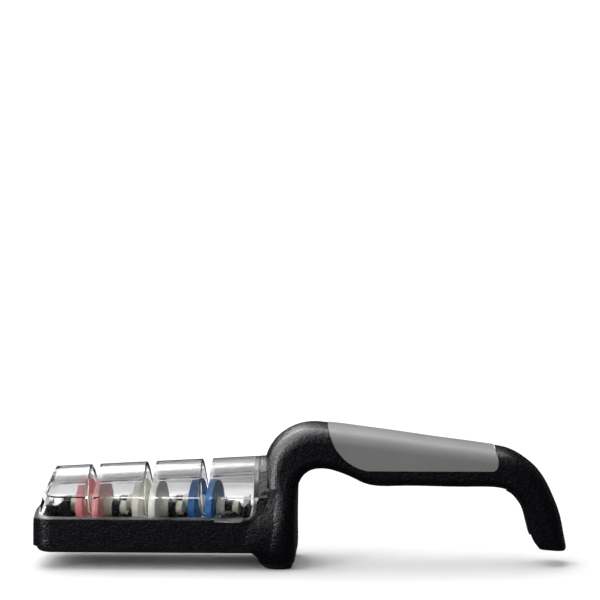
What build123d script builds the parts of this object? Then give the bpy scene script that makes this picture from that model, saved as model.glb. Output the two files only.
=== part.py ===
from build123d import *
import math
import os

os.makedirs("parts", exist_ok=True)

# Pull through knife sharpener: a low water tank with three pairs of ceramic
# wheels under a clear arched lid, a column with a foot, and a long handle that
# bends down into a leg.  Millimetres, +Z up, +X towards the leg, -Y the side
# that faces the user.  Z = 0 is the face of the heel pad under the column.  The
# drawing's X = 0 is near the middle; each piece is moved by -MID_X when it is
# written, so that X = 0 is the middle of the overall length.

# ---------------------------------------------------------------- dimensions
TANK_BOTTOM = 10.0        # underside of the tank moulding
SILL = 22.4               # top of the tank side walls
NOSE_TOP = 26.4           # raised part of the nose wall
TANK_HALF = 23.2          # half width of the tank
TANK_FLOOR = 11.4         # inside floor
CAV_HALF = 20.0           # half width of the water space
CAV_LEFT, CAV_RIGHT = -114.4, -21.6
PANEL_LEFT, PANEL_RIGHT = -16.8, -13.2
NOSE = [(-117.7, 10.0), (-117.7, 12.0), (-117.6, 14.6), (-117.5, 17.2),
        (-117.35, 20.0), (-117.1, 22.4), (-116.8, 24.2), (-116.4, 25.4),
        (-115.9, 26.1), (-115.3, 26.4), (-114.9, 26.4)]
MID_X = 1.05              # middle of the overall length in the drawing's frame

SOLE_BOTTOM = 7.2         # soft sole under the tank
SOLE_INSET = 1.2
SOLE_NOSE = -116.3
SOLE_END = -20.3
PAD_THICK = 2.2           # soft pad under the column

LID_HALF = 21.6
LID_WALL = 2.0
LID_LEFT_LINE = [(-115.3, SILL), (-114.7, 25.2), (-113.1, 30.7), (-110.9, 37.0),
                 (-109.0, 42.6), (-107.2, 48.0)]
BEAD = 0.5                # bead along the lower edge of the lid
INNER_BEAD = 0.8          # radius of the beads inside the lid
LID_RIGHT = -17.1
LID_CREASE = 32.4
LID_CREST_X0, LID_CREST_Z0, LID_CREST_SLOPE = -108.3, 42.85, 0.0549
HAUNCH_HALF, HAUNCH_DROP = 14.0, 5.0

SLOT_X = (-91.3, -66.1, -40.9)
SLOT_BOTTOM = 24.7
SLOT_ROOT = 1.5           # width at the root
SLOT_ANGLE = 4.8          # each side leans out by this
SLOT_RIM = 1.3            # thickness of the walls that line each slot
SLOT_RIM_DEPTH = 3.2

WHEEL_R = 11.9
WHEEL_T = 3.2
WHEEL_Z = 25.3
WHEEL_DX = (3.6, 4.6)     # near and far wheel centre from the slot plane
WHEEL_DY = 4.0
SKEW = 11.0               # axle skew seen from above, degrees
BOSS_R = 3.5
HUB_R = 4.35
NECK_R = 2.15
BORE_R = 2.2
CAP_R = 3.15
PIN_HOLE_R = 1.3
POST_T = 3.2
POST_W = 7.2
POST_TOP = 28.6
NEAR_POST = 5.4           # start of the near post along its axle
FAR_POST = 6.8            # start of the far post along its axle

COVER_T = 2.4
COVER_HALF = 9.8
INLAY_T = 2.0
INLAY_PROUD = 0.3
SEAM = 0.25

# Sections of the column and handle: outer point (x, z), inner point (x, z),
# half width, outer corner radius, inner corner radius, crown radius.
STATIONS = [
    ((-16.4, 2.2), (-2.0, 2.2), 20.8, 5.4, 4.6, 90),
    ((-18.3, 4.4), (-1.0, 4.4), 22.8, 7.0, 5.4, 80),
    ((-19.2, 7.2), (-0.8, 7.2), 24.0, 8.0, 6.0, 75),
    ((-18.9, 12.0), (-0.8, 12.0), 24.6, 8.4, 6.2, 72),
    ((-17.9, 19.0), (-0.85, 19.0), 24.6, 8.2, 6.2, 72),
    ((-17.2, 27.0), (-0.7, 26.5), 23.2, 7.8, 6.0, 68),
    ((-16.5, 35.5), (-0.5, 32.2), 20.9, 7.6, 5.8, 60),
    ((-15.6, 43.4), (-0.05, 35.2), 18.7, 7.4, 5.5, 52),
    ((-13.9, 50.0), (1.0, 38.3), 17.1, 7.2, 5.2, 46),
    ((-10.8, 55.3), (2.6, 40.8), 16.1, 7.2, 4.8, 42),
    ((-6.4, 59.4), (4.7, 42.5), 15.4, 7.2, 4.6, 38),
    ((-0.8, 62.3), (7.2, 43.5), 15.0, 7.0, 4.4, 35),
    ((6.0, 63.6), (10.6, 43.85), 14.6, 6.8, 4.2, 32),
    ((13.6, 63.1), (14.6, 43.4), 14.3, 6.5, 4.0, 30),
    ((20.6, 62.35), (18.8, 42.1), 14.0, 6.2, 3.8, 28),
    ((26.0, 61.65), (24.6, 39.75), 13.9, 6.1, 3.7, 27),
    ((30.4, 61.1), (29.2, 37.5), 13.8, 6.0, 3.6, 27),
    ((34.6, 60.55), (33.6, 36.4), 13.7, 6.0, 3.5, 27),
    ((46.0, 59.0), (45.4, 36.2), 13.5, 6.0, 3.5, 27),
    ((62.0, 56.75), (61.6, 36.05), 13.3, 6.0, 3.5, 27),
    ((77.0, 54.8), (76.8, 35.9), 13.1, 6.0, 3.5, 27),
    ((86.0, 53.55), (85.8, 35.9), 13.0, 6.0, 3.5, 27),
    ((91.8, 52.6), (90.9, 35.25), 12.9, 6.0, 3.5, 27),
    ((96.6, 50.8), (94.5, 33.8), 12.8, 6.0, 3.5, 27),
    ((101.7, 47.6), (97.3, 31.1), 12.7, 6.0, 3.5, 26),
    ((106.6, 43.3), (99.6, 27.8), 12.5, 5.9, 3.5, 26),
    ((110.7, 37.5), (101.15, 24.1), 12.3, 5.8, 3.4, 25),
    ((114.0, 30.6), (102.2, 20.4), 12.1, 5.7, 3.4, 25),
    ((116.8, 23.2), (103.0, 17.2), 11.9, 5.6, 3.3, 24),
    ((118.4, 16.1), (103.8, 14.0), 11.7, 5.5, 3.2, 24),
    ((119.4, 10.8), (105.2, 11.0), 11.5, 5.2, 3.0, 24),
    ((119.8, 7.2), (107.5, 8.1), 11.2, 4.4, 2.6, 24),
]

# Underside of the handle in the middle plane, from the grip to the leg end.
UNDER = [(34.0, 36.3), (45.4, 36.2), (61.6, 36.05), (76.8, 35.9), (85.8, 35.9),
         (88.5, 35.75), (90.9, 35.25), (92.9, 34.6), (94.5, 33.8), (96.0, 32.6),
         (97.3, 31.1), (98.5, 29.5), (99.6, 27.8), (101.15, 24.1), (102.2, 20.4),
         (103.0, 17.2), (103.35, 15.8), (103.8, 14.0), (104.4, 12.6)]
RIBS = ((-7.6, 3), (-3.8, 2), (0.0, 1), (3.8, 0), (7.6, 0))   # place, points short

# Outline of the grey grip saddle seen from the side.
INLAY_LEFT = [(12.9, 67.0), (13.2, 63.2), (14.6, 58.6), (16.2, 54.5),
              (19.1, 50.2), (22.9, 46.7), (27.4, 44.3), (31.6, 43.2)]
INLAY_RIGHT = [(85.4, 43.2), (88.2, 44.2), (88.9, 46.4), (88.3, 50.6),
               (86.8, 55.0), (86.0, 60.0), (86.0, 67.0)]


# ------------------------------------------------------------------- helpers
def polygon_y(points, y0, y1):
    """Prism with an outline in XZ, from y0 to y1."""
    pts = [Vector(x, y0, z) for x, z in points]
    face = Face(Wire.make_polygon(pts, close=True))
    return extrude(face, amount=(y1 - y0), dir=(0, 1, 0))


def curved_y(edges, y0, y1):
    face = Face(Wire(edges))
    return extrude(face, amount=(y1 - y0), dir=(0, 1, 0))


def box(x0, x1, y0, y1, z0, z1):
    return Pos((x0 + x1) / 2, (y0 + y1) / 2, (z0 + z1) / 2) * Box(
        x1 - x0, y1 - y0, z1 - z0)


def rounded_plan(x0, x1, half, radius, z0, z1, radius_right=None):
    """Prism with a plan outline rounded at its left (and right) corners."""
    r = radius
    q = radius_right if radius_right else 0.01
    s = math.sqrt(0.5)

    def a(cx, cy, rr, sx, sy):
        return Vector(cx + sx * rr * s, cy + sy * rr * s, z0)
    e = [
        ThreePointArc(Vector(x0, -half + r, z0), a(x0 + r, -half + r, r, -1, -1),
                      Vector(x0 + r, -half, z0)),
        Line(Vector(x0 + r, -half, z0), Vector(x1 - q, -half, z0)),
        ThreePointArc(Vector(x1 - q, -half, z0), a(x1 - q, -half + q, q, 1, -1),
                      Vector(x1, -half + q, z0)),
        Line(Vector(x1, -half + q, z0), Vector(x1, half - q, z0)),
        ThreePointArc(Vector(x1, half - q, z0), a(x1 - q, half - q, q, 1, 1),
                      Vector(x1 - q, half, z0)),
        Line(Vector(x1 - q, half, z0), Vector(x0 + r, half, z0)),
        ThreePointArc(Vector(x0 + r, half, z0), a(x0 + r, half - r, r, -1, 1),
                      Vector(x0, half - r, z0)),
        Line(Vector(x0, half - r, z0), Vector(x0, -half + r, z0)),
    ]
    return extrude(Face(Wire(e)), amount=z1 - z0, dir=(0, 0, 1))


def section(outer, inner, hw, ro, ri, rc, grow=0.0):
    """Closed section wire: crowned outer side, straight inner side."""
    o, i = Vector(outer[0], 0, outer[1]), Vector(inner[0], 0, inner[1])
    u = (o - i).normalized()
    base = i - u * grow
    h = (o - i).length + 2 * grow
    hw, ro, ri, rc = hw + grow, ro + grow, ri + grow, rc + grow

    def p(y, v):
        return base + u * v + Vector(0, y, 0)
    cx = hw - ro
    root = math.sqrt((rc - ro) ** 2 - cx * cx)
    cz = h - rc + root
    k = rc / (rc - ro)
    tx, tz = cx * k, (h - rc) + root * k
    ang = math.atan2(root, cx)
    m = (ang + 0.0) / 2
    mx, mz = cx + ro * math.cos(m), cz + ro * math.sin(m)
    s = math.sqrt(0.5)
    bx, bz = hw - ri + ri * s, ri - ri * s
    e = [
        ThreePointArc(p(-tx, tz), p(0, h), p(tx, tz)),
        ThreePointArc(p(tx, tz), p(mx, mz), p(hw, cz)),
        Line(p(hw, cz), p(hw, ri)),
        ThreePointArc(p(hw, ri), p(bx, bz), p(hw - ri, 0)),
        Line(p(hw - ri, 0), p(-(hw - ri), 0)),
        ThreePointArc(p(-(hw - ri), 0), p(-bx, bz), p(-hw, ri)),
        Line(p(-hw, ri), p(-hw, cz)),
        ThreePointArc(p(-hw, cz), p(-mx, mz), p(-tx, tz)),
    ]
    return Wire(e)


def handle_loft(first, last, grow=0.0):
    wires = [section(*st, grow=grow) for st in STATIONS[first:last]]
    return Solid.make_loft(wires, False)


def offset_line(points, d):
    """Polyline moved to its left by d."""
    out = []
    n = len(points)
    for k in range(n):
        a = points[max(k - 1, 0)]
        b = points[min(k + 1, n - 1)]
        dx, dz = b[0] - a[0], b[1] - a[1]
        ln = math.hypot(dx, dz)
        out.append((points[k][0] - dz / ln * d, points[k][1] + dx / ln * d))
    return out


def crest(x):
    return LID_CREST_Z0 + LID_CREST_SLOPE * (x - LID_CREST_X0)


def arch_wire(x, inset=0.0, bottom=SILL, raise_=0.0):
    """Lid cross-section at station x."""
    h = LID_HALF - inset
    c = LID_CREASE - 0.42 * inset + raise_
    hh = HAUNCH_HALF - 0.55 * inset
    hz = crest(x) - HAUNCH_DROP - 0.93 * inset + raise_
    cz = crest(x) - inset + raise_

    def p(y, z):
        return Vector(x, y, z)
    return Wire([
        Line(p(-h, bottom), p(-h, c)), Line(p(-h, c), p(-hh, hz)),
        ThreePointArc(p(-hh, hz), p(0, cz), p(hh, hz)),
        Line(p(hh, hz), p(h, c)), Line(p(h, c), p(h, bottom)),
        Line(p(h, bottom), p(-h, bottom))])


def arch_solid(x0, x1, inset=0.0, bottom=SILL, raise_=0.0):
    return Solid.make_loft([arch_wire(x0, inset, bottom, raise_),
                            arch_wire(x1, inset, bottom, raise_)], True)


def one(shape):
    """The largest solid of a result."""
    solids = shape.solids()
    return max(solids, key=lambda q: q.volume)


def save(shape, name):
    export_step(Pos(-MID_X, 0, 0) * shape, "parts/" + name + ".step")


# ---------------------------------------------------------------- body shell
handle = handle_loft(0, len(STATIONS))

tank_profile = NOSE + [(-11.5, NOSE_TOP), (-11.5, TANK_BOTTOM)]
tank = polygon_y(tank_profile, -TANK_HALF, TANK_HALF)
tank = tank & rounded_plan(NOSE[0][0], -8.0, TANK_HALF, 8.6, TANK_BOTTOM - 1, 60)
# the side walls are lower than the nose wall
side_cut = polygon_y([(-130, SILL), (-10.0, SILL), (-10.0, 40), (-130, 40)], -40, 40)
nose_keep = Solid.make_loft([
    Wire.make_polygon([Vector(-125, -16.5, SILL - 0.01), Vector(-111.5, -16.5, SILL - 0.01),
                       Vector(-111.5, 16.5, SILL - 0.01), Vector(-125, 16.5, SILL - 0.01)], close=True),
    Wire.make_polygon([Vector(-125, -12.6, NOSE_TOP + 0.2), Vector(-112.5, -12.6, NOSE_TOP + 0.2),
                       Vector(-112.5, 12.6, NOSE_TOP + 0.2), Vector(-125, 12.6, NOSE_TOP + 0.2)], close=True)], True)
tank = tank - (side_cut - nose_keep)

panel = arch_solid(PANEL_LEFT, PANEL_RIGHT, inset=-0.3, bottom=SILL - 3, raise_=-0.25)

gussets = None
for sgn in (-1, 1):
    g = curved_y([
        Line(Vector(-23.0, 0, SILL - 1.0), Vector(-23.0, 0, SILL)),
        ThreePointArc(Vector(-23.0, 0, SILL), Vector(-19.5, 0, SILL + 1.6),
                      Vector(-17.9, 0, SILL + 5.2)),
        Line(Vector(-17.9, 0, SILL + 5.2), Vector(-17.5, 0, SILL + 8.6)),
        Line(Vector(-17.5, 0, SILL + 8.6), Vector(-14.6, 0, SILL + 8.6)),
        Line(Vector(-14.6, 0, SILL + 8.6), Vector(-10.5, 0, SILL + 1.0)),
        Line(Vector(-10.5, 0, SILL + 1.0), Vector(-10.5, 0, SILL - 1.0)),
        Line(Vector(-10.5, 0, SILL - 1.0), Vector(-23.0, 0, SILL - 1.0)),
    ], 0, 60)
    g = Pos(0, -30, 0) * g
    pts = [(LID_HALF + 0.3, SILL - 1.0), (TANK_HALF, SILL - 1.0), (TANK_HALF, SILL),
           (LID_HALF + 0.4, SILL + 8.6), (LID_HALF + 0.3, SILL + 8.6)]
    wedge = Face(Wire.make_polygon([Vector(-30, sgn * y, z) for y, z in pts], close=True))
    wedge = extrude(wedge, amount=20, dir=(1, 0, 0))
    g = g & wedge
    gussets = g if gussets is None else gussets + g

# cheeks that carry the tank walls smoothly into the column, both sides
CHEEK = [   # height, start x, start half width, half width at the column
    (2.25, -15.2, 18.4, 20.2), (4.4, -17.0, 20.8, 22.3), (7.2, -19.3, 22.2, 23.5),
    (10.0, -22.6, 22.9, 24.0), (16.0, -24.0, 22.95, 24.2), (21.0, -22.3, 22.9, 23.9),
    (26.0, -18.6, 22.2, 22.95), (31.0, -15.2, 21.3, 21.7), (36.0, -13.4, 19.8, 20.25)]
CHEEK_END = -8.5
cheek_wires = []
for z, ax, ay, half in CHEEK:
    dx, dy = ax - CHEEK_END, half - ay
    r = (dx * dx + dy * dy) / (2 * dy)
    by = half - (r - math.sqrt(r * r - dx * dx / 4))
    cheek_wires.append(Wire([
        ThreePointArc(Vector(ax, ay, z), Vector(CHEEK_END + dx / 2, by, z), Vector(CHEEK_END, half, z)),
        Line(Vector(CHEEK_END, half, z), Vector(CHEEK_END, 17.0, z)),
        Line(Vector(CHEEK_END, 17.0, z), Vector(ax, 17.0, z)),
        Line(Vector(ax, 17.0, z), Vector(ax, ay, z))]))
cheek = Solid.make_loft(cheek_wires, False)
cheek = cheek - box(-40, SOLE_END + 0.2, 0, 40, -1, TANK_BOTTOM + 0.3)
toe = polygon_y([(SOLE_END + 0.2, TANK_BOTTOM + 0.5), (SOLE_END + 0.2, SOLE_BOTTOM + 0.1),
                 (-19.0, SOLE_BOTTOM + 0.1), (-15.6, 2.6), (-9.0, 2.6), (-9.0, TANK_BOTTOM + 0.5)],
                -17.8, 17.8)

outer = tank + handle
outer = outer + cheek
outer = outer + mirror(cheek, about=Plane.XZ)
outer = outer + toe
outer = outer + panel
outer = outer + gussets

# room for the lid in front of the panel
outer = outer - arch_solid(-40.0, PANEL_LEFT - 0.02, inset=-0.27, bottom=SILL)

# water space
water = rounded_plan(CAV_LEFT, CAV_RIGHT, CAV_HALF, 5.5, TANK_FLOOR, 60, 2.5)
outer = outer - water
# dip in the sill under the thumb lip of the lid
dip = polygon_y([(-38.4, SILL + 0.01), (-37.2, SILL - 0.9), (-23.4, SILL - 0.9),
                 (-22.2, SILL + 0.01)], -26, -LID_HALF - 0.1)
outer = outer - dip

# hollow of the column, handle and leg
ins = [((o[0] + i[0]) / 2, (o[1] + i[1]) / 2) for o, i, *_ in STATIONS]
inner_pts, outer_pts = [], []
for k, (o, i, *_r) in enumerate(STATIONS[:-1]):
    dx, dz = o[0] - i[0], o[1] - i[1]
    ln = math.hypot(dx, dz)
    ux, uz = dx / ln, dz / ln
    lo = COVER_T if k >= 8 else 3.2
    hi = 5.0 if 12 <= k <= 24 else 3.6
    inner_pts.append((i[0] + ux * lo, i[1] + uz * lo))
    outer_pts.append((o[0] - ux * hi, o[1] - uz * hi))
# the grip part ends inside the leg
hollow_line = inner_pts[7:-1] + outer_pts[7:-1][::-1]
hollow = polygon_y(hollow_line, -8.0, 8.0)
column_line = [(inner_pts[0][0] - 0.6, 1.0)] + inner_pts[1:9] + outer_pts[1:9][::-1] + [(outer_pts[0][0] + 0.4, 1.0)]
column_hollow = polygon_y(column_line, -13.0, 13.0)
outer = outer - hollow
outer = outer - column_hollow

# seat of the under cover
band = UNDER + offset_line(UNDER, COVER_T)[::-1]
low = offset_line(UNDER, -4.0)
band_cut = polygon_y([(UNDER[0][0] - SEAM, low[0][1])] + low
                     + offset_line(UNDER, COVER_T)[::-1]
                     + [(UNDER[0][0] - SEAM, UNDER[0][1] + COVER_T)],
                     -COVER_HALF - SEAM, COVER_HALF + SEAM)
cover_region = polygon_y(low + offset_line(UNDER, COVER_T)[::-1],
                         -COVER_HALF, COVER_HALF)
outer = outer - band_cut

# seat of the grip saddle
saddle_in = handle_loft(11, 25, grow=-INLAY_T)
saddle_out = handle_loft(11, 25, grow=INLAY_PROUD)
left = Spline([Vector(x, 0, z) for x, z in INLAY_LEFT])
right = Spline([Vector(x, 0, z) for x, z in INLAY_RIGHT])
saddle_edges = [left, Line(Vector(31.6, 0, 43.2), Vector(85.4, 0, 43.2)), right,
                Line(Vector(86.0, 0, 67.0), Vector(12.9, 0, 67.0))]
saddle_face = Face(Wire(saddle_edges))
saddle_prism = Pos(0, -25, 0) * extrude(saddle_face, amount=50, dir=(0, 1, 0))
wide_left = offset_line(INLAY_LEFT, -SEAM)
wide_right = offset_line(INLAY_RIGHT, -SEAM)
wide_edges = [Spline([Vector(x, 0, z) for x, z in wide_left]),
              Line(Vector(wide_left[-1][0], 0, wide_left[-1][1]),
                   Vector(wide_right[0][0], 0, wide_right[0][1])),
              Spline([Vector(x, 0, z) for x, z in wide_right]),
              Line(Vector(wide_right[-1][0], 0, wide_right[-1][1]),
                   Vector(wide_left[0][0], 0, wide_left[0][1]))]
wide_prism = Pos(0, -25, 0) * extrude(Face(Wire(wide_edges)), amount=50, dir=(0, 1, 0))
outer = outer - (wide_prism - saddle_in)
body_shell = one(outer)
save(body_shell, "body_shell")

grip_inlay = one((saddle_prism & saddle_out) - saddle_in)
save(grip_inlay, "grip_inlay")

# ---------------------------------------------------------------- under cover
cover = cover_region & handle
cover = one(cover)
# lengthwise ribs on the part that lines the leg, each a little shorter
leg_line = [q for q in UNDER if q[0] >= 92.0]
for y, short in RIBS:
    line = leg_line[:len(leg_line) - short]
    rib = polygon_y(offset_line(line, -0.7) + offset_line(line, 1.2)[::-1], y - 0.6, y + 0.6)
    cover = cover + rib
handle_under_cover = one(cover)
save(handle_under_cover, "handle_under_cover")

# ------------------------------------------------------------- soft sole, pad
sole = rounded_plan(SOLE_NOSE, -8.0, TANK_HALF - SOLE_INSET, 8.0,
                    SOLE_BOTTOM, TANK_BOTTOM, 2.0)
edge = sole.faces().sort_by(Axis.Z)[0].edges()
sole = fillet(edge, 2.6)
sole = sole & box(-130, SOLE_END, -40, 40, 0, 20)
save(one(sole), "base_sole")


def plan_wire(x0, x1, half, r, z):
    return [w for w in rounded_plan(x0, x1, half, r, z, z + 1, r).faces().sort_by(Axis.Z)[0].wires()][0]


pad = Solid.make_loft([plan_wire(-13.4, -3.0, 18.8, 4.0, 0.0),
                       plan_wire(-15.0, -2.4, 19.9, 4.4, 0.8),
                       plan_wire(-16.1, -2.1, 20.5, 4.6, PAD_THICK)], True)
save(one(pad), "heel_pad")

# ----------------------------------------------------------------------- lid
lid_outer = arch_solid(-122.0, LID_RIGHT)
lid_inner = arch_solid(-122.0, LID_RIGHT - LID_WALL, inset=LID_WALL, bottom=SILL - 1)
lid_rim = arch_solid(-122.0, LID_RIGHT - LID_WALL, inset=SLOT_RIM_DEPTH + 0.0, bottom=SILL - 1)


def lid_side(dx, low_z):
    pts = [(x + dx, z) for x, z in LID_LEFT_LINE]
    pts = [(pts[0][0] - 0.4, low_z)] + pts if low_z < SILL else pts
    return polygon_y(pts + [(-105.5 + dx, 60), (0, 60), (0, low_z)], -40, 40)


lid_solid = (lid_outer & lid_side(0.0, SILL)) & rounded_plan(
    LID_LEFT_LINE[0][0], 5, LID_HALF, 8.6, SILL, 60)
lid_void = (lid_inner & lid_side(LID_WALL, SILL - 1)) & rounded_plan(
    LID_LEFT_LINE[0][0] + LID_WALL, 5, LID_HALF - LID_WALL, 6.6, SILL - 1, 60)
lid = lid_solid - lid_void
# lengthwise beads inside, where the top meets the sloping sides
for sgn in (-1, 1):
    y = sgn * (HAUNCH_HALF - 0.55 * LID_WALL)
    x0, x1 = -106.0, LID_RIGHT - LID_WALL + 0.4

    def under(x):
        return crest(x) - HAUNCH_DROP - 0.93 * LID_WALL
    start = Vector(x0, y, under(x0))
    path = Vector(x1, y, under(x1)) - start
    rod = extrude(Plane(origin=start, x_dir=(0, 1, 0), z_dir=path) * Circle(INNER_BEAD),
                  amount=path.length)
    lid = lid + (rod & lid_outer)


def slot_prism(x, grow, y=40):
    t = math.tan(math.radians(SLOT_ANGLE))
    r = SLOT_ROOT / 2 + grow
    zc = SLOT_BOTTOM + SLOT_ROOT / 2
    zt = 60.0
    w = r / math.cos(math.radians(SLOT_ANGLE))
    s = math.radians(SLOT_ANGLE)
    ax, az = r * math.cos(s), -r * math.sin(s)
    top = ax + (zt - (zc + az)) * t
    return curved_y([
        ThreePointArc(Vector(x - ax, -y, zc + az), Vector(x, -y, zc - r),
                      Vector(x + ax, -y, zc + az)),
        Line(Vector(x + ax, -y, zc + az), Vector(x + top, -y, zt)),
        Line(Vector(x + top, -y, zt), Vector(x - top, -y, zt)),
        Line(Vector(x - top, -y, zt), Vector(x - ax, -y, zc + az))], -y, y)


for x in SLOT_X:
    rim = (slot_prism(x, SLOT_RIM) & lid_outer) - lid_rim
    lid = lid + rim
for x in SLOT_X:
    lid = lid - slot_prism(x, 0.0)

# bead along the lower edge, rounded above
for sgn in (-1, 1):
    y0 = sgn * (LID_HALF - 0.6)
    y1 = sgn * (LID_HALF + BEAD)
    ends = (-106.6, -23.6)
    strip = box(ends[0], ends[1], min(y0, y1), max(y0, y1), SILL, SILL + 0.8)
    rim = [e for e in strip.edges().filter_by(Axis.X)
           if abs(e.center().Y - y1) < 0.01 and e.center().Z > SILL + 0.5]
    lid = lid + fillet(rim, 0.45)
corner = rounded_plan(LID_LEFT_LINE[0][0] - BEAD, -100, LID_HALF + BEAD, 8.6 + BEAD, SILL, SILL + 0.8)
corner = corner - rounded_plan(LID_LEFT_LINE[0][0] + 0.8, -90, LID_HALF - 0.8, 7.8, SILL - 1, SILL + 2)
corner = corner & box(-118, -106.5, -30, 30, SILL - 1, SILL + 2)
lid = lid + corner

# clearance over the raised nose wall
nose_gap = Solid.make_loft([
    Wire.make_polygon([Vector(-125, -17.0, SILL - 0.3), Vector(-111.0, -17.0, SILL - 0.3),
                       Vector(-111.0, 17.0, SILL - 0.3), Vector(-125, 17.0, SILL - 0.3)], close=True),
    Wire.make_polygon([Vector(-125, -12.9, NOSE_TOP + 0.3), Vector(-112.0, -12.9, NOSE_TOP + 0.3),
                       Vector(-112.0, 12.9, NOSE_TOP + 0.3), Vector(-125, 12.9, NOSE_TOP + 0.3)], close=True)], True)
lid = lid - nose_gap

# thumb lip: half an oval boss on the near side of the skirt
lip = Pos(-30.3, -21.0, SILL - 0.7) * scale(Sphere(1.0), by=(6.7, 3.1, 4.9))
lip = lip & box(-40, -20, -30, -20.6, SILL - 0.7, 40)
lip = lip - box(-40, -20, -LID_HALF - BEAD - 0.1, -20, SILL - 1, SILL)
lid = lid + lip
# small lug on the inside of the right end wall
lid = lid + box(LID_RIGHT - LID_WALL - 0.6, LID_RIGHT - LID_WALL + 0.5, -LID_HALF + 1.0, -LID_HALF + 3.2, SILL + 4.6, SILL + 8.8)
lid = one(lid)
save(lid, "lid")

# ------------------------------------------------------------- wheels, axles
nx, ny = math.cos(math.radians(SKEW)), -math.sin(math.radians(SKEW))


def along(origin, sign, w0, w1, r, hole=0.0):
    """Cylinder round the axle from w0 to w1 away from the wheel."""
    d = Vector(nx * sign, ny * sign, 0)
    start = origin + d * w0
    pl = Plane(origin=start, x_dir=(0, 0, 1), z_dir=d)
    c = extrude(pl * Circle(r), amount=w1 - w0)
    if hole:
        c = c - extrude(pl * Circle(hole), amount=w1 - w0)
    return c


COLOURS = ("coarse", "medium", "fine")
for x, name in zip(SLOT_X, COLOURS):
    for side, sign in (("near", 1), ("far", -1)):
        centre = Vector(x + (WHEEL_DX[0] if sign > 0 else -WHEEL_DX[1]),
                        -sign * WHEEL_DY, WHEEL_Z)
        half = WHEEL_T / 2
        disc = along(centre, sign, -half, half, WHEEL_R)
        rims = disc.edges().filter_by(GeomType.CIRCLE)
        disc = fillet(rims, 0.45)
        disc = disc - along(centre, sign, -half - 1, half + 1, BOSS_R)
        save(one(disc), "wheel_" + name + "_" + side)
        start = NEAR_POST if sign > 0 else FAR_POST
        axle = along(centre, sign, -half - 1.1, -half, HUB_R)
        axle = axle + along(centre, sign, -half, half, BOSS_R)
        if sign > 0:
            axle = axle + along(centre, sign, half, start - 0.15, HUB_R)
        else:
            axle = axle + along(centre, sign, half, NEAR_POST - 0.15, HUB_R)
            axle = axle + along(centre, sign, NEAR_POST - 0.15, start - 0.15, BOSS_R)
        tip = start + POST_T + 0.15 + (2.6 if sign > 0 else 1.5)
        axle = axle + along(centre, sign, start - 0.15, tip, NECK_R)
        axle = axle - along(centre, sign, tip - 3.4, tip + 1, PIN_HOLE_R)
        save(one(axle), "axle_" + name + "_" + side)
        cap = along(centre, sign, start + POST_T + 0.15, tip + 0.25, CAP_R)
        rim = cap.faces().sort_by(Axis((0, 0, 0), (nx * sign, ny * sign, 0)))[-1].edges()
        cap = fillet(rim, 0.8)
        cap = cap - along(centre, sign, start + POST_T - 1, tip, NECK_R)
        cap = cap - along(centre, sign, tip - 1, tip + 1, PIN_HOLE_R)
        save(one(cap), "axle_cap_" + name + "_" + side)

# -------------------------------------------------------------- wheel carrier
RAIL_IN, RAIL_OUT = 17.2, 19.6
RAIL_TOP = 19.6
BAR_TOP = 16.2
carrier = None
for s in (-1, 1):
    y0, y1 = sorted((s * RAIL_IN, s * RAIL_OUT))
    r = box(-109.0, -24.0, y0, y1, TANK_FLOOR, RAIL_TOP)
    carrier = r if carrier is None else carrier + r
bars = [(SLOT_X[0] - 17.4, SLOT_X[0] - 10.4)]
for k in range(2):
    bars.append((SLOT_X[k] + 8.1, SLOT_X[k + 1] - 8.7))
bars.append((SLOT_X[2] + 8.1, -24.0))
for x0, x1 in bars:
    carrier = carrier + box(x0, x1, -RAIL_IN - 0.5, RAIL_IN + 0.5, TANK_FLOOR, BAR_TOP)
for x in SLOT_X:
    for sign, start in ((1, NEAR_POST), (-1, FAR_POST)):
        c = Vector(x + (WHEEL_DX[0] if sign > 0 else -WHEEL_DX[1]), -sign * WHEEL_DY, 0) + Vector(nx * sign, ny * sign, 0) * (start + POST_T / 2)
        pl = Plane(origin=c + Vector(0, 0, (TANK_FLOOR + POST_TOP) / 2), x_dir=(nx, ny, 0), z_dir=(0, 0, 1))
        post = pl * Box(POST_T, POST_W, POST_TOP - TANK_FLOOR)
        top = post.faces().sort_by(Axis.Z)[-1].edges().filter_by(Axis((0, 0, 0), (nx, ny, 0)))
        post = fillet(top, 2.0)
        # swollen foot of each post
        foot = pl * (Pos(0, 0, -(POST_TOP - TANK_FLOOR) / 2 + 3.6) * Box(POST_T, POST_W + 4.0, 7.2))
        carrier = carrier + post
        carrier = carrier + foot
# saddle block at the column end
carrier = carrier + polygon_y([(-24.9, TANK_FLOOR), (-24.9, 27.5), (-24.3, 27.0), (-23.6, 26.9),
                               (-22.9, 27.3), (-22.3, 28.2), (-22.0, 28.2),
                               (-22.0, TANK_FLOOR)], -12.0, 12.0)
# stepped cradle at the nose end
for y0, y1 in ((-1.9, -0.3), (10.6, 12.2)):
    carrier = carrier + polygon_y([(-110.6, TANK_FLOOR), (-110.6, 23.0), (-106.0, 27.4),
                                   (-102.6, 27.6), (-102.6, TANK_FLOOR)], y0, y1)
carrier = carrier + box(-112.9, -108.2, -14.5, 14.5, TANK_FLOOR, BAR_TOP)
carrier = carrier + box(-109.4, -102.6, 9.0, 12.2, TANK_FLOOR, 21.0)
for x in SLOT_X:
    for sign in (1, -1):
        centre = Vector(x + (WHEEL_DX[0] if sign > 0 else -WHEEL_DX[1]),
                        -sign * WHEEL_DY, WHEEL_Z)
        start = NEAR_POST if sign > 0 else FAR_POST
        carrier = carrier - along(centre, sign, start - 0.3, start + POST_T + 0.3, BORE_R)
wheel_carrier = one(carrier)
save(wheel_carrier, "wheel_carrier")
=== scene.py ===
import math

import bpy
from mathutils import Matrix, Vector

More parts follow.
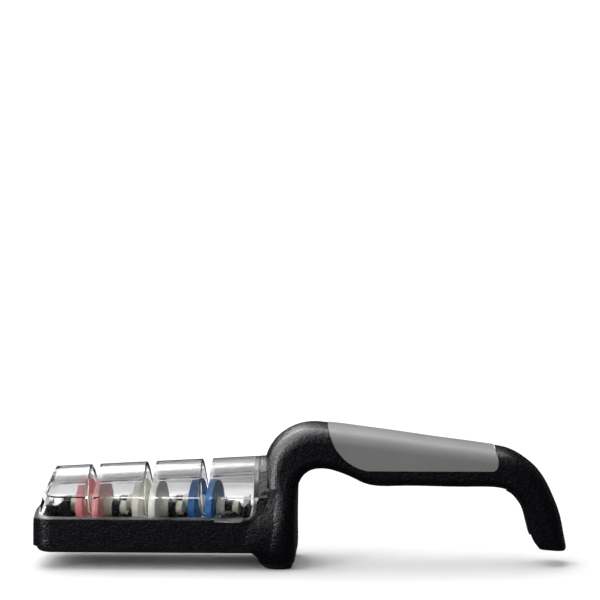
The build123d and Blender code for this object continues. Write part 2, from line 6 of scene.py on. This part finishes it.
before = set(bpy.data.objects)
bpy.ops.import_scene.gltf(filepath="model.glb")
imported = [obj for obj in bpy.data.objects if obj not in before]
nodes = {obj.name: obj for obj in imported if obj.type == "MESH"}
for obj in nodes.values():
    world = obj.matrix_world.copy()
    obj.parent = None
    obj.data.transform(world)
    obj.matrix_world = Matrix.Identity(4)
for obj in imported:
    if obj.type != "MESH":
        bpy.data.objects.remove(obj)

scene = bpy.context.scene
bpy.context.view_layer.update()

# ------------------------------------------------------------ shader helpers


def new_material(name):
    m = bpy.data.materials.new(name)
    m.use_nodes = True
    t = m.node_tree
    for n in list(t.nodes):
        t.nodes.remove(n)
    out = t.nodes.new("ShaderNodeOutputMaterial")
    p = t.nodes.new("ShaderNodeBsdfPrincipled")
    t.links.new(p.outputs[0], out.inputs[0])
    return m, t, p


def coords(t, scale=1.0):
    c = t.nodes.new("ShaderNodeTexCoord")
    mp = t.nodes.new("ShaderNodeMapping")
    mp.inputs["Scale"].default_value = (scale, scale, scale)
    t.links.new(c.outputs["Object"], mp.inputs[0])
    return mp.outputs[0]


def noise(t, vec, scale, detail=2.0, rough=0.5):
    n = t.nodes.new("ShaderNodeTexNoise")
    n.inputs["Scale"].default_value = scale
    n.inputs["Detail"].default_value = detail
    n.inputs["Roughness"].default_value = rough
    t.links.new(vec, n.inputs["Vector"])
    return n


def ramp(t, fac, stops):
    r = t.nodes.new("ShaderNodeValToRGB")
    e = r.color_ramp.elements
    while len(e) < len(stops):
        e.new(0.5)
    for k, (pos, col) in enumerate(stops):
        e[k].position = pos
        e[k].color = (*col, 1.0) if len(col) == 3 else col
    t.links.new(fac, r.inputs[0])
    return r.outputs[0]


def bump(t, height, strength, distance, normal=None):
    b = t.nodes.new("ShaderNodeBump")
    b.inputs["Strength"].default_value = strength
    b.inputs["Distance"].default_value = distance
    t.links.new(height, b.inputs["Height"])
    if normal is not None:
        t.links.new(normal, b.inputs["Normal"])
    return b.outputs[0]


def to_range(t, fac, lo, hi, a=0.0, b=1.0):
    m = t.nodes.new("ShaderNodeMapRange")
    m.inputs["From Min"].default_value = a
    m.inputs["From Max"].default_value = b
    m.inputs["To Min"].default_value = lo
    m.inputs["To Max"].default_value = hi
    t.links.new(fac, m.inputs["Value"])
    return m.outputs[0]


# ----------------------------------------------------------------- materials
def grained_black():
    """Spark-eroded black moulding: fine irregular pits with bright glints."""
    m, t, p = new_material("black_grained")
    v = coords(t)
    grain = noise(t, v, 1250.0, 2.0, 0.6)
    coarse = noise(t, v, 560.0, 1.0, 0.5)
    mix = t.nodes.new("ShaderNodeMath")
    mix.operation = "MULTIPLY_ADD"
    mix.inputs[1].default_value = 0.7
    t.links.new(coarse.outputs[0], mix.inputs[0])
    t.links.new(grain.outputs[0], mix.inputs[2])
    col = ramp(t, grain.outputs[0], [(0.35, (0.0003, 0.0003, 0.0012)), (0.60, (0.0014, 0.0014, 0.0032)),
                                     (0.74, (0.008, 0.008, 0.011))])
    t.links.new(col, p.inputs["Base Color"])
    t.links.new(to_range(t, grain.outputs[0], 0.33, 0.17, 0.35, 0.65), p.inputs["Roughness"])
    t.links.new(bump(t, mix.outputs[0], 0.8, 0.00028), p.inputs["Normal"])
    p.inputs["Specular IOR Level"].default_value = 0.46
    return m


def satin_black(name, rough=(0.32, 0.42), base=0.006, spec=0.4):
    m, t, p = new_material(name)
    v = coords(t)
    fine = noise(t, v, 900.0, 2.0)
    soft = noise(t, v, 35.0, 2.0)
    col = ramp(t, soft.outputs[0], [(0.35, (base * 0.8, base * 0.82, base)), (0.7, (base * 1.3, base * 1.3, base * 1.5))])
    t.links.new(col, p.inputs["Base Color"])
    t.links.new(to_range(t, fine.outputs[0], *rough, 0.3, 0.7), p.inputs["Roughness"])
    t.links.new(bump(t, fine.outputs[0], 0.12, 0.0001), p.inputs["Normal"])
    p.inputs["Specular IOR Level"].default_value = spec
    return m


def rubber(name):
    m, t, p = new_material(name)
    v = coords(t)
    fine = noise(t, v, 1300.0, 3.0, 0.6)
    soft = noise(t, v, 40.0, 2.0)
    col = ramp(t, soft.outputs[0], [(0.3, (0.003, 0.003, 0.004)), (0.7, (0.006, 0.006, 0.008))])
    t.links.new(col, p.inputs["Base Color"])
    t.links.new(to_range(t, fine.outputs[0], 0.6, 0.75, 0.3, 0.7), p.inputs["Roughness"])
    t.links.new(bump(t, fine.outputs[0], 0.35, 0.00012), p.inputs["Normal"])
    p.inputs["Specular IOR Level"].default_value = 0.3
    return m


def satin_grey():
    """Grey saddle: smooth satin plastic with a very fine haze."""
    m, t, p = new_material("grip_grey_satin")
    v = coords(t)
    fine = noise(t, v, 1800.0, 2.0, 0.55)
    soft = noise(t, v, 18.0, 2.0)
    col = ramp(t, soft.outputs[0], [(0.3, (0.104, 0.106, 0.103)), (0.7, (0.117, 0.118, 0.115))])
    t.links.new(col, p.inputs["Base Color"])
    t.links.new(to_range(t, fine.outputs[0], 0.40, 0.48, 0.3, 0.7), p.inputs["Roughness"])
    t.links.new(bump(t, fine.outputs[0], 0.10, 0.00006), p.inputs["Normal"])
    p.inputs["Specular IOR Level"].default_value = 0.5
    return m


def clear_plastic():
    """Clear polished lid: clear skirt, painted highlight and painted shade stripes that
    follow the crest, and a ground bead along the lower edge."""
    m, t, p = new_material("lid_clear_polished")
    v = coords(t)
    soft = noise(t, v, 55.0, 2.0)
    xyz = t.nodes.new("ShaderNodeSeparateXYZ")
    t.links.new(v, xyz.inputs[0])
    # depth below the sloping crest line, metres
    line = t.nodes.new("ShaderNodeMath")
    line.operation = "MULTIPLY_ADD"
    line.inputs[1].default_value = 0.0549
    line.inputs[2].default_value = 0.04285 + 0.0549 * (0.1083 + 0.00105)
    t.links.new(xyz.outputs[0], line.inputs[0])
    depth = t.nodes.new("ShaderNodeMath")
    depth.operation = "SUBTRACT"
    t.links.new(line.outputs[0], depth.inputs[0])
    t.links.new(xyz.outputs[2], depth.inputs[1])
    fac = to_range(t, depth.outputs[0], 0.0, 1.0, 0.0, 0.014)
    # painted reflection and painted shade: base-colour stripes set by depth below the crest, bright where the
    # crest's highlight falls and dark along its shaded lines
    painted_light_bands = ramp(t, fac, [(0.0, (0.29, 0.29, 0.30)), (0.10, (0.41, 0.41, 0.42)), (0.16, (0.88, 0.88, 0.89)),
                          (0.27, (0.93, 0.93, 0.94)), (0.34, (0.35, 0.34, 0.35)), (0.43, (0.32, 0.31, 0.32)),
                          (0.52, (0.50, 0.50, 0.51)), (0.75, (0.56, 0.56, 0.57)), (0.92, (0.90, 0.90, 0.905))])
    # painted shade: the crest stripes are darkened towards the column end, where less light falls
    side = t.nodes.new("ShaderNodeMix")
    side.data_type = "RGBA"
    side.blend_type = "MULTIPLY"
    t.links.new(to_range(t, xyz.outputs[0], 0.0, 1.0, -0.115, -0.018), side.inputs["Factor"])
    t.links.new(painted_light_bands, side.inputs[6])
    side.inputs[7].default_value = (0.73, 0.73, 0.73, 1)
    painted_light_bands = side.outputs[2]
    low = to_range(t, xyz.outputs[2], 0.0, 1.0, 0.0319, 0.0330)
    mix = t.nodes.new("ShaderNodeMix")
    mix.data_type = "RGBA"
    t.links.new(low, mix.inputs["Factor"])
    mix.inputs[6].default_value = (0.97, 0.97, 0.975, 1)
    t.links.new(painted_light_bands, mix.inputs[7])
    t.links.new(mix.outputs[2], p.inputs["Base Color"])
    p.inputs["Transmission Weight"].default_value = 1.0
    p.inputs["IOR"].default_value = 1.47
    p.inputs["Specular Tint"].default_value = (0.16, 0.16, 0.16, 1)
    polish = to_range(t, soft.outputs[0], 0.015, 0.045, 0.3, 0.7)
    bead = to_range(t, xyz.outputs[2], 0.65, 0.0, 0.0232, 0.0235)
    end = to_range(t, xyz.outputs[0], 0.0, 0.32, -0.0205, -0.0202)
    edge = t.nodes.new("ShaderNodeMath")
    edge.operation = "MAXIMUM"
    t.links.new(end, edge.inputs[0])
    t.links.new(bead, edge.inputs[1])
    rough = t.nodes.new("ShaderNodeMath")
    rough.operation = "MAXIMUM"
    t.links.new(polish, rough.inputs[0])
    t.links.new(edge.outputs[0], rough.inputs[1])
    t.links.new(rough.outputs[0], p.inputs["Roughness"])
    t.links.new(bump(t, soft.outputs[0], 0.03, 0.0002), p.inputs["Normal"])
    return m


def ceramic(name, dark, light, edge):
    """Fine-grit sintered wheel with slight blotches."""
    m, t, p = new_material(name)
    v = coords(t)
    grit = noise(t, v, 2600.0, 2.0, 0.65)
    blot = noise(t, v, 170.0, 3.0, 0.6)
    add = t.nodes.new("ShaderNodeMath")
    add.operation = "MULTIPLY_ADD"
    add.inputs[1].default_value = 0.45
    t.links.new(grit.outputs[0], add.inputs[0])
    t.links.new(blot.outputs[0], add.inputs[2])
    col = ramp(t, add.outputs[0], [(0.50, dark), (0.72, light), (0.95, edge)])
    t.links.new(col, p.inputs["Base Color"])
    t.links.new(to_range(t, grit.outputs[0], 0.55, 0.75, 0.3, 0.7), p.inputs["Roughness"])
    t.links.new(bump(t, grit.outputs[0], 0.5, 0.00008), p.inputs["Normal"])
    p.inputs["Specular IOR Level"].default_value = 0.4
    return m


def cream():
    m, t, p = new_material("hub_cream_moulded")
    v = coords(t)
    soft = noise(t, v, 240.0, 2.0)
    fine = noise(t, v, 1500.0, 2.0)
    col = ramp(t, soft.outputs[0], [(0.3, (0.50, 0.52, 0.40)), (0.7, (0.60, 0.62, 0.49))])
    t.links.new(col, p.inputs["Base Color"])
    t.links.new(to_range(t, fine.outputs[0], 0.28, 0.40, 0.3, 0.7), p.inputs["Roughness"])
    t.links.new(bump(t, fine.outputs[0], 0.08, 0.00006), p.inputs["Normal"])
    p.inputs["Subsurface Weight"].default_value = 0.0
    return m


MATS = {
    "body": grained_black(),
    "cover": satin_black("black_cover_satin", (0.36, 0.46), 0.003, 0.3),
    "grip": satin_grey(),
    "sole": rubber("sole_black_rubber"),
    "lid": clear_plastic(),
    "carrier": satin_black("black_carrier_gloss", (0.22, 0.32), 0.003, 0.14),
    "coarse": ceramic("ceramic_coral", (0.60, 0.19, 0.20), (0.74, 0.27, 0.275), (0.82, 0.38, 0.37)),
    "medium": ceramic("ceramic_white", (0.76, 0.745, 0.64), (0.84, 0.83, 0.74), (0.90, 0.89, 0.83)),
    "fine": ceramic("ceramic_blue", (0.003, 0.055, 0.21), (0.008, 0.105, 0.34), (0.03, 0.19, 0.47)),
    "cream": cream(),
}


def assign(node, mat):
    o = nodes[node]
    for s in o.material_slots:
        s.material = mat
    if not o.material_slots:
        o.data.materials.append(mat)


assign("body_shell", MATS["body"])
assign("handle_under_cover", MATS["cover"])
assign("grip_inlay", MATS["grip"])
assign("base_sole", MATS["sole"])
assign("heel_pad", MATS["sole"])
assign("lid", MATS["lid"])
assign("wheel_carrier", MATS["carrier"])
for grade in ("coarse", "medium", "fine"):
    for side in ("near", "far"):
        assign("wheel_%s_%s" % (grade, side), MATS[grade])
        assign("axle_%s_%s" % (grade, side), MATS["cream"])
        assign("axle_cap_%s_%s" % (grade, side), MATS["cream"])


# --------------------------------------------------------------------- stage
R_FLOOR, R_COVE, H_WALL = 1.9, 0.6, 2.6


def cyclorama(name, a0, a1):
    """Pale round studio wall with a cove, from angle a0 to a1."""
    prof = [(R_FLOOR, 0.0)]
    for k in range(1, 9):
        t = math.radians(90 * k / 8)
        prof.append((R_FLOOR + R_COVE * math.sin(t), R_COVE * (1 - math.cos(t))))
    prof.append((R_FLOOR + R_COVE, H_WALL))
    n = max(8, int(abs(a1 - a0) / 6))
    verts, faces = [], []
    for i in range(n + 1):
        a = math.radians(a0 + (a1 - a0) * i / n)
        for r, z in prof:
            verts.append((r * math.cos(a), r * math.sin(a), z))
    m = len(prof)
    for i in range(n):
        for k in range(m - 1):
            p0 = i * m + k
            faces.append((p0, p0 + m, p0 + m + 1, p0 + 1))
    me = bpy.data.meshes.new(name)
    me.from_pydata(verts, [], faces)
    me.polygons.foreach_set("use_smooth", [True] * len(me.polygons))
    o = bpy.data.objects.new(name, me)
    scene.collection.objects.link(o)
    me.materials.append(STUDIO)
    return o


def studio_disc(name, a0, a1):
    """Half of the flat floor, from angle a0 to a1, split just behind the part."""
    ring = 36
    verts = [(0.0, SPLIT_Y, 0.0)]
    for i in range(ring + 1):
        a = math.radians(a0 + (a1 - a0) * i / ring)
        y = R_FLOOR * 1.002 * math.sin(a)
        verts.append((R_FLOOR * 1.002 * math.cos(a), SPLIT_Y if i in (0, ring) else y, 0.0))
    faces = [(0, 1 + i, 2 + i) for i in range(ring)]
    me = bpy.data.meshes.new(name)
    me.from_pydata(verts, [], faces)
    o = bpy.data.objects.new(name, me)
    scene.collection.objects.link(o)
    me.materials.append(FLOOR)
    return o


SPLIT_Y = 0.0
def paint(name, value):
    m, t, p = new_material(name)
    p.inputs["Base Color"].default_value = (value, value, value, 1)
    p.inputs["Roughness"].default_value = 0.9
    p.inputs["Specular IOR Level"].default_value = 0.05
    return m


STUDIO = paint("studio_pale", 0.80)
FLOOR = paint("studio_floor", 0.44)

floor_back = studio_disc("studio_floor_back", 0, 180)
floor_front = studio_disc("studio_floor_front", 180, 360)
walls = cyclorama("studio_walls", 150, 390)
back_wall = cyclorama("studio_back", 30, 150)
for o in (floor_back, floor_front, walls, back_wall):
    o.visible_glossy = False          # black flags around the object
walls.visible_transmission = False
floor_front.visible_diffuse = False   # no bounce on the near side
walls.visible_shadow = False
back_wall.visible_shadow = False


def area(name, loc, target, size, power, size_y=None, color=(1, 1, 1)):
    d = bpy.data.lights.new(name, "AREA")
    d.energy = power
    d.color = color
    d.size = size
    if size_y:
        d.shape = "RECTANGLE"
        d.size_y = size_y
    o = bpy.data.objects.new(name, d)
    o.location = loc
    o.rotation_mode = "QUATERNION"
    o.rotation_quaternion = (Vector(target) - Vector(loc)).to_track_quat("-Z", "Y")
    scene.collection.objects.link(o)
    return o


area("front_soft", (-0.46, -1.04, 0.52), (-0.02, 0.0, 0.03), 0.90, 2.8, 0.50)
area("back_left", (-0.44, 0.84, 0.90), (0.0, 0.0, 0.04), 0.50, 3.4, 0.40)
area("back_wash", (0.0, 0.9, 1.7), (0.0, 2.6, 0.35), 1.8, 22.0, 0.4)
area("left_strip", (-0.88, -0.78, 0.50), (-0.02, 0.0, 0.04), 0.32, 11.0, 0.95)

world = bpy.data.worlds.new("studio_world")
scene.world = world
world.use_nodes = True
wt = world.node_tree
bg = wt.nodes["Background"]
wc = wt.nodes.new("ShaderNodeTexCoord")
dot = wt.nodes.new("ShaderNodeVectorMath")
dot.operation = "DOT_PRODUCT"
dot.inputs[1].default_value = Vector((-0.47, 0.12, 0.87)).normalized()
wt.links.new(wc.outputs["Generated"], dot.inputs[0])
wr = wt.nodes.new("ShaderNodeMapRange")
wr.interpolation_type = "SMOOTHSTEP"
wr.inputs["From Min"].default_value = 0.52
wr.inputs["From Max"].default_value = 0.95
wr.inputs["To Min"].default_value = 0.03
wr.inputs["To Max"].default_value = 5.0
wt.links.new(dot.outputs["Value"], wr.inputs["Value"])
wt.links.new(wr.outputs[0], bg.inputs[1])
bg.inputs[0].default_value = (1, 1, 1, 1)

scene.view_settings.view_transform = "Standard"
scene.view_settings.look = "None"
scene.view_settings.exposure = 0.0

# -------------------------------------------------------------------- camera
YAW, PITCH = 2.0, 4.0
F_PX = 2309.8
CAM = Vector((0.03554, -1.02886, 0.19016))
yw, pt = math.radians(YAW), math.radians(PITCH)
back = Vector((math.cos(pt) * math.sin(yw), -math.cos(pt) * math.cos(yw), math.sin(pt)))
right = Vector((math.cos(yw), math.sin(yw), 0.0))
up = back.cross(right)
cam_data = bpy.data.cameras.new("camera")
cam_data.sensor_width = 36.0
cam_data.lens = F_PX * 36.0 / 600.0
cam_data.clip_start, cam_data.clip_end = 0.05, 20.0
cam = bpy.data.objects.new("camera", cam_data)
rot = Matrix((right, up, back)).transposed()
cam.matrix_world = Matrix.Translation(CAM) @ rot.to_4x4()
scene.collection.objects.link(cam)
scene.camera = cam
